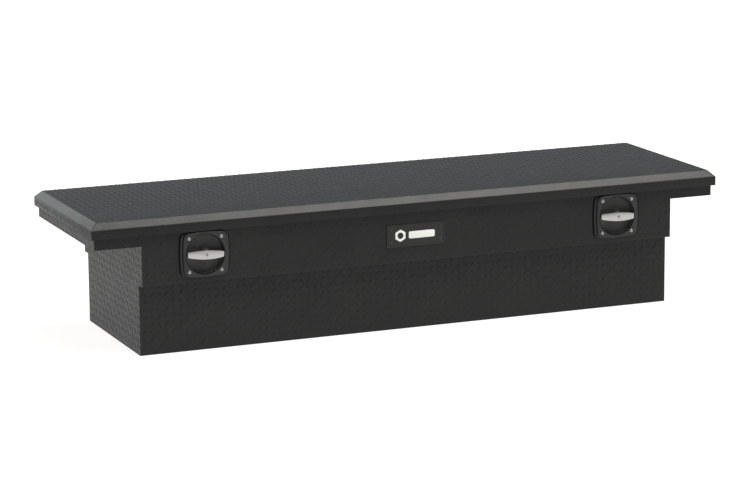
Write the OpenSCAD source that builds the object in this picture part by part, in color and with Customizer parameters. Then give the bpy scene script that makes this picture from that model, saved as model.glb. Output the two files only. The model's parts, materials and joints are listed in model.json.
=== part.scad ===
/* [Tub] */
// Length of the tub between its end walls, outside
tub_len = 1509; // [1400:1:1540]
// Depth of the lower tub, outside
low_depth = 434; // [400:1:440]
// Depth of the upper tub above the ledges, outside
up_depth = 489; // [480:1:500]
// Height of the ledge where the tub gets deeper
ledge_z = 185; // [160:1:190]
// Height of the tub rim
rim_z = 318; // [312:1:324]
// Thickness of the sheet metal
sheet = 2; // [1.5:0.1:2.5]

/* [Wings] */
// Length over the two wings that rest on the bed rails
wing_span = 1757; // [1700:1:1760]
// Height of the underside of the wings
wing_z = 291; // [285:1:295]
// Radius of the clamp holes in the wing floors
clamp_hole_r = 6.5; // [5:0.1:7]
// Distance between the two clamp holes of a wing
clamp_spacing = 360; // [300:1:400]

/* [Lid] */
// Length of the lid
lid_len = 1775; // [1770:1:1790]
// Depth of the lid, front to back
lid_depth = 511; // [508:1:520]
// Height of the lid's top face
lid_top = 361; // [355:1:370]
// Width and height of the bevel round the lid
lid_bevel = 17; // [12:0.5:20]
// Height of the lid's upright edge
lid_edge = 24; // [20:0.5:28]
// Gap between the rim and the pan under the lid, filled by the seal
seal_gap = 8; // [7:0.1:9]

/* [Rim] */
// Width of the rim flange along the front and back
rim_side = 20; // [18:0.5:22]
// Width of the rim flange at the ends
rim_end = 26.5; // [24:0.5:30]
// Width of the seal that lies on the rim
seal_w = 12; // [8:1:12]

/* [Hinge] */
// Number of knuckles along the piano hinge
knuckles = 50; // [20:2:60]
// Length of one knuckle with its gap
knuckle_pitch = 34; // [25:1:34]
// Outside radius of a knuckle
knuckle_r = 3; // [2.5:0.1:3.2]
// Radius of the hinge pin
hinge_pin_r = 1.5; // [1:0.1:1.8]
// Distance of the hinge pin behind the middle of the box
hinge_y = 249; // [248.5:0.1:249.4]
// Height of the hinge pin
hinge_z = 322.5; // [322:0.1:324]

/* [Handles] */
// Distance of each handle from the middle of the box
handle_x = 587; // [500:1:640]
// Height of the handles' centre
handle_z = 259; // [256:1:259]
// Width and height of the raised face of a handle housing
face_size = 117; // [108:1:117]
// Radius of the round dish behind the bar
dish_r = 51; // [48:0.5:52]
// Depth of the dish from the raised face
dish_depth = 18; // [16:0.5:19]
// Height of the raised face above the front panel
face_rise = 10; // [8:0.5:12]
// Length of the twist bar
bar_len = 97; // [90:1:99]
// Height of the twist bar at its middle
bar_mid = 23; // [20:0.5:28]
// Height of the twist bar near its ends
bar_tip = 14; // [12:0.5:18]
// How far the bar stands in front of the panel
bar_rise = 21; // [18:0.5:24]
// How far a bar at rest leans from level, its left end up
bar_tilt = 2.5; // [0:0.5:5]

/* [Badge] */
// Length of the plain badge plate
badge_len = 165; // [120:1:180]
// Height of the plain badge plate
badge_h = 61; // [50:1:64]

/* [Struts] */
// Distance of both strut studs from the hinge line
strut_arm = 220; // [200:1:225]
// Distance of the strut's plane from the middle of the box
strut_x = 740; // [735:0.5:741]
// Outside radius of the strut's cylinder
strut_r = 9; // [8:0.5:9.5]
// Radius of the strut's rod
rod_r = 4; // [3:0.5:4]

/* [Tray] */
// Length of the sliding tray
tray_len = 420; // [300:1:500]
// Depth that the tray hangs below the ledges
tray_drop = 80; // [50:1:100]

/* [Hidden] */
$fn = 48;
half_tub = tub_len / 2;
half_wing = wing_span / 2;
half_low = low_depth / 2;
half_up = up_depth / 2;
panel_y = -half_up;
half_lid_x = lid_len / 2;
half_lid_y = lid_depth / 2;
lid_edge_z = lid_top - lid_bevel - lid_edge;
bevel_in = lid_bevel - sheet * (2 - sqrt(2));
pan_z = rim_z + seal_gap;
pan_t = 1.5;
pan_half_x = half_lid_x - sheet - bevel_in;
pan_half_y = half_lid_y - sheet - bevel_in;
fit = 0.05;

// latch planes, front to back, measured on Y
dish_floor_y = panel_y - face_rise + dish_depth;
dish_wall = 3;
dish_back_y = dish_floor_y + dish_wall;
base_y = -220;
base_t = 2;
work_y = -216;
work_t = 5;
cover_y = -209;
cover_t = 2;
seat_t = 0.8;
seat_y = panel_y - seat_t;

// latch points, seen from the front, measured from the handle's centre
striker_at = [0, 32];
striker_r = 4;
fork_at = [-15, 37];
fork_pin_r = 3;
pawl_at = [14, 14];
pawl_pin_r = 2.5;
stem_r = 5;
plug_r = 4.5;
case_screws = [[-36, 6], [20, 41], [20, -12]];
case_screw_r = 2.5;
face_bolt = 43.5;
cutout_r = dish_r + 3;

// strut studs, [Y, Z]
lid_stud_drop = 10.5;
lid_stud = [hinge_y - sqrt(pow(strut_arm, 2) - pow(lid_stud_drop, 2)), hinge_z - lid_stud_drop];
tub_stud_back = 54;
tub_stud = [hinge_y - tub_stud_back, hinge_z - sqrt(pow(strut_arm, 2) - pow(tub_stud_back, 2))];
strut_vec = lid_stud - tub_stud;
strut_len = norm(strut_vec);
strut_tilt = atan2(strut_vec[1], strut_vec[0]);
cyl_len = 215;
stud_r = 4;
eye_r = 8;
eye_t = 10;
neck_r = 5;
piston_at = 31;
piston_t = 8;

sheet_black = [0.16, 0.16, 0.16];
satin_black = [0.10, 0.10, 0.10];
bare_steel = [0.72, 0.73, 0.74];
bright_bar = [0.85, 0.85, 0.86];
rubber_black = [0.06, 0.06, 0.06];
zinc = [0.65, 0.62, 0.48];

// A box given by its two opposite corners
module span(low, high) {
    translate(low) cube(high - low);
}

// The same thing on both sides of X = 0, side -1 is left and 1 is right
module on_side(side) {
    mirror([side < 0 ? 1 : 0, 0, 0]) children();
}

// A flat shape drawn in X and Z, given a thickness along Y from y0
module slab_xz(y0, t) {
    translate([0, y0 + t, 0]) rotate([90, 0, 0]) linear_extrude(t) children();
}

// A flat shape drawn in Y and Z, given a length along X, centred
module bar_yz(len) {
    rotate([90, 0, 90]) linear_extrude(len, center = true) children();
}

// A round bar along Y between two places
module rod_y(r, y0, y1) {
    translate([0, y1, 0]) rotate([90, 0, 0]) cylinder(r = r, h = y1 - y0);
}

// A round bar along X between two places
module rod_x(r, x0, x1) {
    translate([x0, 0, 0]) rotate([0, 90, 0]) cylinder(r = r, h = x1 - x0);
}

module at_handle(side) {
    on_side(side) translate([handle_x, 0, handle_z]) children();
}

// A rounded square
module soft_square(w, h, r) {
    for (sx = [-1, 1]) for (sy = [-1, 1])
        translate([sx * (w / 2 - r), sy * (h / 2 - r)]) circle(r);
    square([w - 2 * r, h], center = true);
    square([w, h - 2 * r], center = true);
}

// The part of a disc between two angles less than half a turn apart
module sector(r, a0, a1) {
    mid = (a0 + a1) / 2;
    intersection() {
        circle(r);
        polygon([[0, 0], 3 * r * [cos(a0), sin(a0)], 3 * r * [cos(mid), sin(mid)],
            3 * r * [cos(a1), sin(a1)]]);
    }
}

// ---- tub ----
module tub_profile() {
    difference() {
        union() {
            translate([-half_low, 0]) square([low_depth, ledge_z + sheet]);
            translate([-half_up, ledge_z]) square([up_depth, rim_z - ledge_z]);
        }
        translate([-half_low + sheet, sheet]) square([low_depth - 2 * sheet, rim_z]);
        translate([-half_up + sheet, ledge_z + sheet]) square([up_depth - 2 * sheet, rim_z]);
    }
}

module tub_shell() {
    color(sheet_black) difference() {
        union() {
            bar_yz(tub_len) tub_profile();
            for (sy = [-1, 1])
                span([-half_wing, sy * (half_up - sheet / 2) - sheet / 2, wing_z],
                    [half_wing, sy * (half_up - sheet / 2) + sheet / 2, rim_z]);
        }
        for (side = [-1, 1]) at_handle(side) {
            rod_y(cutout_r, panel_y - 1, panel_y + sheet + 1);
            face_bolts() rod_y(rivet_hole_r, panel_y - 1, panel_y + sheet + 1);
        }
        rivet_holes(tub_rivet_z);
    }
}

module end_wall(side) {
    color(sheet_black) on_side(side) translate([half_tub - sheet / 2, 0, 0])
        bar_yz(sheet) difference() {
            union() {
                translate([-half_low + sheet, sheet])
                    square([low_depth - 2 * sheet, wing_z]);
                translate([-half_up + sheet, ledge_z + sheet])
                    square([up_depth - 2 * sheet, wing_z - ledge_z]);
            }
            translate([-half_up, wing_z + sheet]) square([up_depth, 40]);
        }
}

module wing(side) {
    in_y = half_up - sheet;
    color(sheet_black) on_side(side) difference() {
        union() {
            span([half_tub, -in_y, wing_z], [half_wing, in_y, wing_z + sheet]);
            span([half_wing - sheet, -in_y, wing_z], [half_wing, in_y, rim_z]);
        }
        for (sy = [-1, 1])
            translate([(half_tub + half_wing) / 2, sy * clamp_spacing / 2, wing_z - 1])
                cylinder(r = clamp_hole_r, h = sheet + 2);
    }
}

module rim_frame() {
    out = [half_wing - sheet, half_up - sheet];
    in = [out[0] - rim_end, out[1] - rim_side];
    hem = 12;
    color(sheet_black) difference() {
        span([-out[0], -out[1], rim_z - sheet], [out[0], out[1], rim_z]);
        span([-in[0], -in[1], 0], [in[0], in[1], rim_z + 1]);
    }
    color(sheet_black) difference() {
        span([-in[0] - sheet, -in[1] - sheet, rim_z - hem], [in[0] + sheet, in[1] + sheet, rim_z]);
        span([-in[0], -in[1], 0], [in[0], in[1], rim_z + 1]);
    }
}

// The bulb seal: a foot on the rim and a narrower crown that the pan presses
module rim_seal() {
    mid = [pan_half_x - seal_w / 2 - 1, pan_half_y - seal_w / 2];
    color(rubber_black) for (part = [[seal_w, rim_z, 3], [seal_w - 3, rim_z + 3, 3],
            [seal_w - 6, rim_z + 6, seal_gap - 6]])
        translate([0, 0, part[1]]) linear_extrude(part[2]) difference() {
            square(2 * mid + part[0] * [1, 1], center = true);
            square(2 * mid - part[0] * [1, 1], center = true);
        }
}

// ---- hinge ----
knuckle_gap = 0.25;
leaf_t = 1.5;
leaf_reach = 19;
tub_rivet_z = rim_z - 12;
lid_rivet_z = hinge_z + 11;
rivet_r = 2;
rivet_head_r = 4;
rivet_pitch = 85;
rivet_end = 9.5 * rivet_pitch;

function knuckle_x(i) = (i - (knuckles - 1) / 2) * knuckle_pitch;

module knuckle_row(first) {
    for (i = [first:2:knuckles - 1])
        translate([knuckle_x(i), hinge_y, hinge_z])
            rod_x(knuckle_r, -knuckle_pitch / 2 + knuckle_gap, knuckle_pitch / 2 - knuckle_gap);
}

module hinge_bore() {
    len = knuckles * knuckle_pitch / 2 + 5;
    translate([0, hinge_y, hinge_z]) rod_x(hinge_pin_r + fit, -len, len);
}

// A leaf of the piano hinge: a plate along the wall, joggled over to its knuckles
module hinge_leaf(first, wall_y, plate_y, far_z, lip, rivet_z) {
    len = knuckles * knuckle_pitch / 2;
    tab = knuckle_pitch / 2 - knuckle_gap;
    step = lip - sign(lip) * leaf_t;
    color(bare_steel) difference() {
        union() {
            knuckle_row(first);
            span([-len, plate_y, min(far_z, hinge_z + lip)],
                [len, plate_y + leaf_t, max(far_z, hinge_z + lip)]);
            for (i = [first:2:knuckles - 1]) translate([knuckle_x(i), 0, hinge_z])
                span([-tab, min(wall_y, hinge_y), min(lip, step)],
                    [tab, max(wall_y, hinge_y), max(lip, step)]);
        }
        hinge_bore();
        rivet_holes(rivet_z);
    }
}

module hinge_leaf_tub() {
    hinge_leaf(0, half_up, half_up, rim_z - leaf_reach, -knuckle_r, tub_rivet_z);
}

module hinge_leaf_lid() {
    inner_y = half_lid_y - sheet;
    hinge_leaf(1, inner_y, inner_y - leaf_t, hinge_z + leaf_reach, knuckle_r, lid_rivet_z);
}

module hinge_pin() {
    len = knuckles * knuckle_pitch / 2;
    color(bare_steel) translate([0, hinge_y, hinge_z]) rod_x(hinge_pin_r, -len, len);
}

// The row of holes for the rivets that hold a hinge leaf to the back wall
module rivet_holes(z) {
    for (x = [-rivet_end:rivet_pitch:rivet_end]) translate([x, 0, z])
        rod_y(rivet_r + fit, half_up - 10, half_lid_y + 10);
}

module rivet_row(y_wall, y_tip, z) {
    head_t = 1.2;
    for (x = [-rivet_end:rivet_pitch:rivet_end]) translate([x, 0, z]) {
        rod_y(rivet_r, y_tip, y_wall);
        rod_y(rivet_head_r, y_wall, y_wall + head_t);
    }
}

module hinge_rivets_tub() {
    color(bare_steel) rivet_row(half_up + leaf_t, half_up - sheet - leaf_t, tub_rivet_z);
}

module hinge_rivets_lid() {
    color(bare_steel) rivet_row(half_lid_y, half_lid_y - sheet - 2 * leaf_t, lid_rivet_z);
}

// ---- handle housing ----
face_corner = 14;
flange_t = 3.2;
flange_size = [face_size + 15, face_size + 2];
gasket_size = [face_size + 21, face_size + 1];
cup_wall = 2.5;
boss_r = 5;
rivet_hole_r = 2.5;

// The four rivet places of a housing's face
module face_bolts() {
    for (sx = [-1, 1]) for (sz = [-1, 1]) translate([sx * face_bolt, 0, sz * face_bolt]) children();
}

module handle_housing(side) {
    face_y = panel_y - face_rise;
    color(satin_black) at_handle(side) difference() {
        union() {
            slab_xz(seat_y - flange_t, flange_t)
                soft_square(flange_size[0], flange_size[1], face_corner + 2);
            slab_xz(face_y, seat_y - face_y) soft_square(face_size, face_size, face_corner);
            rod_y(dish_r + cup_wall, face_y, dish_back_y);
            for (p = case_screws) translate([p[0], 0, p[1]]) rod_y(boss_r, dish_back_y - 1, base_y);
        }
        rod_y(dish_r, face_y - 1, dish_floor_y);
        rod_y(stem_r + fit, face_y, dish_back_y + 1);
        for (p = case_screws) translate([p[0], 0, p[1]])
            rod_y(case_screw_r, dish_back_y, base_y + 1);
        face_bolts() rod_y(rivet_hole_r, face_y - 1, panel_y + 1);
    }
}

module housing_gasket(side) {
    color(rubber_black) at_handle(side) difference() {
        slab_xz(seat_y, seat_t) soft_square(gasket_size[0], gasket_size[1], face_corner + 3);
        rod_y(cutout_r, seat_y - 1, panel_y + 1);
        face_bolts() rod_y(rivet_hole_r, seat_y - 1, panel_y + 1);
    }
}

module housing_rivets() {
    face_y = panel_y - face_rise;
    inner_y = panel_y + sheet;
    shank_r = 2.4;
    head_r = 4.3;
    head_t = 1.8;
    blind_r = 4.6;
    blind_t = 2.5;
    color(bare_steel) for (side = [-1, 1]) at_handle(side) face_bolts() {
        rod_y(shank_r, face_y, inner_y + 1);
        rod_y(head_r, face_y - head_t, face_y);
        rod_y(blind_r, inner_y, inner_y + blind_t);
    }
}

// ---- twist bar and its stem ----
bar_front_y = panel_y - bar_rise;
bar_t = 8;
bar_sag = 6;
bar_arc_r = pow(bar_len / 2, 2) / (2 * bar_sag);

bar_corner = 3;
bar_belly = (bar_mid - bar_tip) / 2;
bar_flank_r = (pow(bar_len / 2, 2) + pow(bar_belly, 2)) / (2 * bar_belly);
hub_r = 14;
plug_end_y = bar_front_y + 14;
stem_end_y = -204;

// Two long arcs cut square at the ends, with small round corners
module bar_outline() {
    intersection() {
        translate([0, bar_mid / 2 - bar_flank_r]) circle(bar_flank_r, $fn = 180);
        translate([0, bar_flank_r - bar_mid / 2]) circle(bar_flank_r, $fn = 180);
        soft_square(bar_len, bar_mid, bar_corner + bar_belly);
    }
}

module twist_bar(side) {
    color(bright_bar) at_handle(side) rotate([0, side * bar_tilt, 0]) difference() {
        union() {
            intersection() {
                slab_xz(bar_front_y - 1, 20) bar_outline();
                translate([0, bar_front_y + bar_arc_r, -bar_mid]) difference() {
                    cylinder(r = bar_arc_r, h = 2 * bar_mid, $fn = 120);
                    cylinder(r = bar_arc_r - bar_t, h = 2 * bar_mid, $fn = 120);
                }
            }
            rod_y(hub_r, bar_front_y + bar_t - 1, dish_floor_y - 0.5);
        }
        rod_y(plug_r + fit, bar_front_y - 1, plug_end_y);
        rod_y(stem_r, plug_end_y, dish_floor_y);
    }
}

module handle_stem(side) {
    color(zinc) at_handle(side) rod_y(stem_r, plug_end_y, stem_end_y);
}

// A lobe on the stem that swings from straight down to straight out
cam_reach = 9.5;
cam_hub_r = 7;
cam_w = 5;

module trip_cam(side) {
    color(zinc) at_handle(side) slab_xz(work_y, work_t) difference() {
        union() {
            circle(cam_hub_r);
            translate([-cam_w / 2, -cam_reach]) square([cam_w, cam_reach]);
        }
        circle(stem_r);
    }
}

module stem_nut(side) {
    nut_t = 5;
    nut_r = 7.5;
    color(zinc) at_handle(side) slab_xz(work_y + work_t, nut_t) difference() {
        circle(nut_r, $fn = 6);
        circle(stem_r, $fn = 48);
    }
}

module lock_plug(side) {
    slot = [1.2, 4, 5.2];
    color(satin_black) at_handle(side) difference() {
        rod_y(plug_r, bar_front_y - 0.4, plug_end_y - 0.5);
        translate([-slot[0] / 2, bar_front_y - 1, -slot[2] / 2]) cube(slot);
    }
}

// ---- latch behind each handle ----
case_low = [-42, -18];
case_size = [68, 76];
mouth_w = 14;
mouth_low = 24;
stem_clear_r = 9.5;
screw_head_r = 4.5;

// A plate with a mouth for the striker and a round hole for the stem
module case_outline() {
    difference() {
        translate(case_low) square(case_size);
        translate([-mouth_w / 2, mouth_low]) square([mouth_w, case_size[1]]);
        circle(stem_clear_r);
    }
}

module case_holes(y0, y1) {
    for (p = case_screws) translate([p[0], 0, p[1]]) rod_y(case_screw_r + 0.1, y0, y1);
    translate([fork_at[0], 0, fork_at[1]]) rod_y(fork_pin_r, y0, y1);
    translate([pawl_at[0], 0, pawl_at[1]]) rod_y(pawl_pin_r, y0, y1);
}

module latch_base(side) {
    color(zinc) at_handle(side) difference() {
        slab_xz(base_y, base_t) case_outline();
        case_holes(base_y - 1, base_y + base_t + 1);
    }
}

module latch_cover(side) {
    color(zinc) at_handle(side) difference() {
        union() {
            slab_xz(cover_y, cover_t) case_outline();
            for (p = case_screws) translate([p[0], 0, p[1]])
                rod_y(screw_head_r, base_y + base_t, cover_y + 0.5);
        }
        case_holes(base_y, cover_y + cover_t + 1);
    }
}

module latch_screws() {
    head_t = 2.5;
    color(zinc) for (side = [-1, 1]) at_handle(side)
        for (p = case_screws) translate([p[0], 0, p[1]]) {
            rod_y(case_screw_r, dish_back_y + 1, cover_y + cover_t);
            rod_y(screw_head_r, cover_y + cover_t, cover_y + cover_t + head_t);
        }
}

module latch_pivots() {
    color(bare_steel) for (side = [-1, 1]) at_handle(side) {
        translate([fork_at[0], 0, fork_at[1]]) rod_y(fork_pin_r, base_y, cover_y + cover_t);
        translate([pawl_at[0], 0, pawl_at[1]]) rod_y(pawl_pin_r, base_y, cover_y + cover_t);
    }
}

// The hooked fork, standing open so that the striker can leave
module latch_fork(side) {
    horn_r = 24;
    throat_r = 14;
    jaw_r = 22;
    hub_r = 8;
    color(zinc) at_handle(side) translate([fork_at[0], 0, fork_at[1]])
        slab_xz(work_y, work_t) difference() {
            union() {
                circle(hub_r);
                sector(horn_r, 73, 125);
                sector(throat_r, 120, 235);
                sector(jaw_r, 230, 322);
            }
            circle(fork_pin_r + fit);
        }
}

// A long lever: its nose rides on the fork's rim and its tail waits beside the cam
module latch_pawl(side) {
    top_edge = [[0, 4.5], [-14, 2.5], [-24, 0.2], [-33, 0.3], [-36.8, 2]];
    low_edge = [[-38, -1.5], [-30, -4], [-18, -4.2], [0, -5]];
    tail = [5.2, 14.5];
    hub_r = 5.5;
    color(zinc) at_handle(side) translate([pawl_at[0], 0, pawl_at[1]])
        slab_xz(work_y, work_t) difference() {
            union() {
                circle(hub_r);
                polygon(concat(top_edge, low_edge));
                translate(-tail) square(tail);
            }
            circle(pawl_pin_r + fit);
        }
}

// A torsion spring round the stem, swept along a helix
spring_r = 9.5;
spring_wire = 0.9;
spring_turns = 5;
spring_sides = 8;
spring_rings = 90;
spring_rise = (base_y - dish_back_y - 3) / spring_turns;

function ring_point(i, j) = let (
        turn = i / spring_rings * 360 * spring_turns,
        r = spring_r + spring_wire * cos(360 * j / spring_sides))
    [r * cos(turn), dish_back_y + 1.5 + spring_rise * turn / 360 + spring_wire * sin(360 * j / spring_sides),
        r * sin(turn)];

module return_spring(side) {
    points = [for (i = [0:spring_rings]) for (j = [0:spring_sides - 1]) ring_point(i, j)];
    sides = [for (i = [0:spring_rings - 1]) for (j = [0:spring_sides - 1]) let (
            k = (j + 1) % spring_sides, a = i * spring_sides, b = a + spring_sides)
        each [[a + j, a + k, b + k], [a + j, b + k, b + j]]];
    last = spring_rings * spring_sides;
    ends = [[for (j = [spring_sides - 1:-1:0]) j], [for (j = [0:spring_sides - 1]) last + j]];
    color(bare_steel) at_handle(side) polyhedron(points, concat(sides, ends));
}

// ---- striker under the lid ----
module striker(side) {
    leg_y = -204;
    leg_t = 4;
    leg_half = 12;
    foot_half = 22;
    foot_t = 3;
    foot_depth = 30;
    top = pan_z - handle_z;
    color(bare_steel) at_handle(side) {
        span([-leg_half, leg_y, striker_at[1] - striker_r - 3], [leg_half, leg_y + leg_t, top]);
        span([-foot_half, leg_y, top - foot_t], [foot_half, leg_y + foot_depth, top]);
        translate([striker_at[0], 0, striker_at[1]]) rod_y(striker_r, base_y + 1, leg_y + 1);
    }
}

module striker_screws() {
    head_r = 4;
    head_t = 2.5;
    apart = 28;
    color(bare_steel) for (side = [-1, 1]) at_handle(side)
        for (s = [-1, 1]) translate([s * apart / 2, -185, pan_z - handle_z - 3 - head_t])
            cylinder(r = head_r, h = head_t);
}

// ---- struts ----
// Places a strut that is drawn along +Y from the stud on the tub
module along_strut(side) {
    on_side(side) translate([strut_x, tub_stud[0], tub_stud[1]]) rotate([strut_tilt, 0, 0]) children();
}

module strut_mount_tub(side) {
    wall = half_tub - sheet;
    plate_t = 2.5;
    plate_half = 18;
    color(zinc) on_side(side) translate([0, tub_stud[0], tub_stud[1]]) {
        span([wall - plate_t, -plate_half, -plate_half], [wall, plate_half, plate_half]);
        rod_x(stud_r, strut_x - eye_t / 2, wall - 2);
    }
}

module strut_mount_lid(side) {
    plate_x = strut_x + eye_t / 2 + 4;
    drop = pan_z - lid_stud[1];
    ear = [3, 12, 7];
    foot = [12, 22, 2];
    color(zinc) on_side(side) translate([0, lid_stud[0], lid_stud[1]]) {
        span([plate_x, -ear[1], -ear[2]], [plate_x + ear[0], ear[1], drop]);
        span([plate_x - foot[0], -foot[1], drop - foot[2]], [plate_x + 20, foot[1], drop]);
        rod_x(stud_r, strut_x - eye_t / 2, plate_x + 1);
    }
}

module strut_cylinder(side) {
    cap_t = 10;
    start = 16;
    color(satin_black) along_strut(side) difference() {
        union() {
            rod_x(eye_r, -eye_t / 2, eye_t / 2);
            rod_y(neck_r, 5, start + 2);
            rod_y(strut_r, start, cyl_len);
        }
        rod_x(stud_r + fit, -eye_t, eye_t);
        rod_y(strut_r - 1, start + 6, cyl_len - cap_t);
        rod_y(rod_r + 0.3, cyl_len - cap_t - 1, cyl_len + 1);
    }
}

module strut_rod(side) {
    color(bright_bar) along_strut(side) difference() {
        union() {
            translate([0, strut_len, 0]) rod_x(eye_r, -eye_t / 2, eye_t / 2);
            rod_y(rod_r, piston_at, strut_len - 3);
            rod_y(neck_r, strut_len - 16, strut_len - 5);
            rod_y(strut_r - 1.5, piston_at, piston_at + piston_t);
        }
        translate([0, strut_len, 0]) rod_x(stud_r + fit, -eye_t, eye_t);
    }
}

// ---- badge ----
badge_t = 2;
badge_z = handle_z - 1;
badge_rivet_in = [12, 14.5];

module badge_plate() {
    color([0.2, 0.2, 0.2]) slab_xz(panel_y - badge_t, badge_t) translate([0, badge_z])
        soft_square(badge_len, badge_h, 4);
}

module badge_rivets() {
    head_r = 3;
    head_t = 1.2;
    far = [badge_len / 2, badge_h / 2] - badge_rivet_in;
    color(satin_black) for (sx = [-1, 1]) for (sz = [-1, 1])
        translate([sx * far[0], 0, badge_z + sz * far[1]])
            rod_y(head_r, panel_y - badge_t - head_t, panel_y - badge_t);
}

// ---- lid ----
// The beveled block of the lid, where two bevelled profiles cross
module lid_profile(half, low, top, bevel) {
    polygon([[-half, low], [half, low], [half, top - bevel], [half - bevel, top],
        [-half + bevel, top], [-half, top - bevel]]);
}

module lid_block(hx, hy, low, top, bevel) {
    intersection() {
        bar_yz(4 * hx) lid_profile(hy, low, top, bevel);
        slab_xz(-2 * hy, 4 * hy) lid_profile(hx, low, top, bevel);
    }
}

module lid_skin() {
    color(sheet_black) difference() {
        lid_block(half_lid_x, half_lid_y, lid_edge_z, lid_top, lid_bevel);
        lid_block(half_lid_x - sheet, half_lid_y - sheet, lid_edge_z - 1, lid_top - sheet, bevel_in);
        rivet_holes(lid_rivet_z);
    }
}

module lid_core() {
    color([0.85, 0.8, 0.62]) span([-pan_half_x + pan_t, -pan_half_y + pan_t, pan_z + pan_t],
        [pan_half_x - pan_t, pan_half_y - pan_t, lid_top - sheet]);
}

module lid_pan() {
    color(sheet_black) difference() {
        span([-pan_half_x, -pan_half_y, pan_z], [pan_half_x, pan_half_y, lid_top - sheet]);
        span([-pan_half_x + pan_t, -pan_half_y + pan_t, pan_z + pan_t],
            [pan_half_x - pan_t, pan_half_y - pan_t, lid_top]);
    }
}

// ---- tray ----
tray_flange_z = ledge_z + sheet + 3;

tray_t = 1.5;
tray_top = tray_flange_z + 2;
tray_low = tray_top - tray_drop;
tray_half_y = half_low - sheet - 8;

// A folded channel whose two flanges slide on the ledges
module tool_tray() {
    flange_y = half_up - 6;
    color(sheet_black) bar_yz(tray_len) difference() {
        union() {
            translate([-tray_half_y, tray_low]) square([2 * tray_half_y, tray_drop]);
            translate([-flange_y, tray_flange_z]) square([2 * flange_y, tray_top - tray_flange_z]);
        }
        translate([-tray_half_y + tray_t, tray_low + tray_t])
            square([2 * (tray_half_y - tray_t), tray_drop]);
    }
}

// A plate across the channel, welded inside it
module tray_plate(x) {
    in_y = tray_half_y - tray_t;
    color(sheet_black) span([x - tray_t / 2, -in_y, tray_low + tray_t], [x + tray_t / 2, in_y, tray_top]);
}

module tray_end(side) {
    tray_plate(side * (tray_len - tray_t) / 2);
}

module tray_divider() {
    tray_plate(0);
}

module tray_glides() {
    color("white") for (sx = [-1, 1]) for (sy = [-1, 1])
        translate([sx * (tray_len / 2 - 20), sy * (half_up - 16), ledge_z + sheet])
            cylinder(r = 8, h = 3);
}

tub_shell();
end_wall(-1);  // end_wall_left
end_wall(1);  // end_wall_right
wing(-1);  // wing_left
wing(1);  // wing_right
rim_frame();
rim_seal();
hinge_leaf_tub();
hinge_pin();
hinge_rivets_tub();
handle_housing(-1);  // handle_housing_left
handle_housing(1);  // handle_housing_right
housing_gasket(-1);  // housing_gasket_left
housing_gasket(1);  // housing_gasket_right
housing_rivets();
latch_base(-1);  // latch_base_left
latch_base(1);  // latch_base_right
latch_cover(-1);  // latch_cover_left
latch_cover(1);  // latch_cover_right
latch_screws();
latch_pivots();
return_spring(-1);  // return_spring_left
return_spring(1);  // return_spring_right
strut_mount_tub(-1);  // strut_mount_tub_left
strut_mount_tub(1);  // strut_mount_tub_right
badge_plate();
badge_rivets();
lid_skin();
lid_core();
lid_pan();
hinge_leaf_lid();
hinge_rivets_lid();
striker(-1);  // striker_left
striker(1);  // striker_right
striker_screws();
strut_mount_lid(-1);  // strut_mount_lid_left
strut_mount_lid(1);  // strut_mount_lid_right
strut_cylinder(-1);  // strut_cylinder_left
strut_cylinder(1);  // strut_cylinder_right
strut_rod(-1);  // strut_rod_left
strut_rod(1);  // strut_rod_right
twist_bar(-1);  // twist_bar_left
twist_bar(1);  // twist_bar_right
handle_stem(-1);  // handle_stem_left
handle_stem(1);  // handle_stem_right
trip_cam(-1);  // trip_cam_left
trip_cam(1);  // trip_cam_right
stem_nut(-1);  // stem_nut_left
stem_nut(1);  // stem_nut_right
lock_plug(-1);  // lock_plug_left
lock_plug(1);  // lock_plug_right
latch_fork(-1);  // latch_fork_left
latch_fork(1);  // latch_fork_right
latch_pawl(-1);  // latch_pawl_left
latch_pawl(1);  // latch_pawl_right
tool_tray();
tray_end(-1);  // tray_end_left
tray_end(1);  // tray_end_right
tray_divider();
tray_glides();
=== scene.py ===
import json
import math

import bpy
from mathutils import Euler, Matrix, Vector

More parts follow.
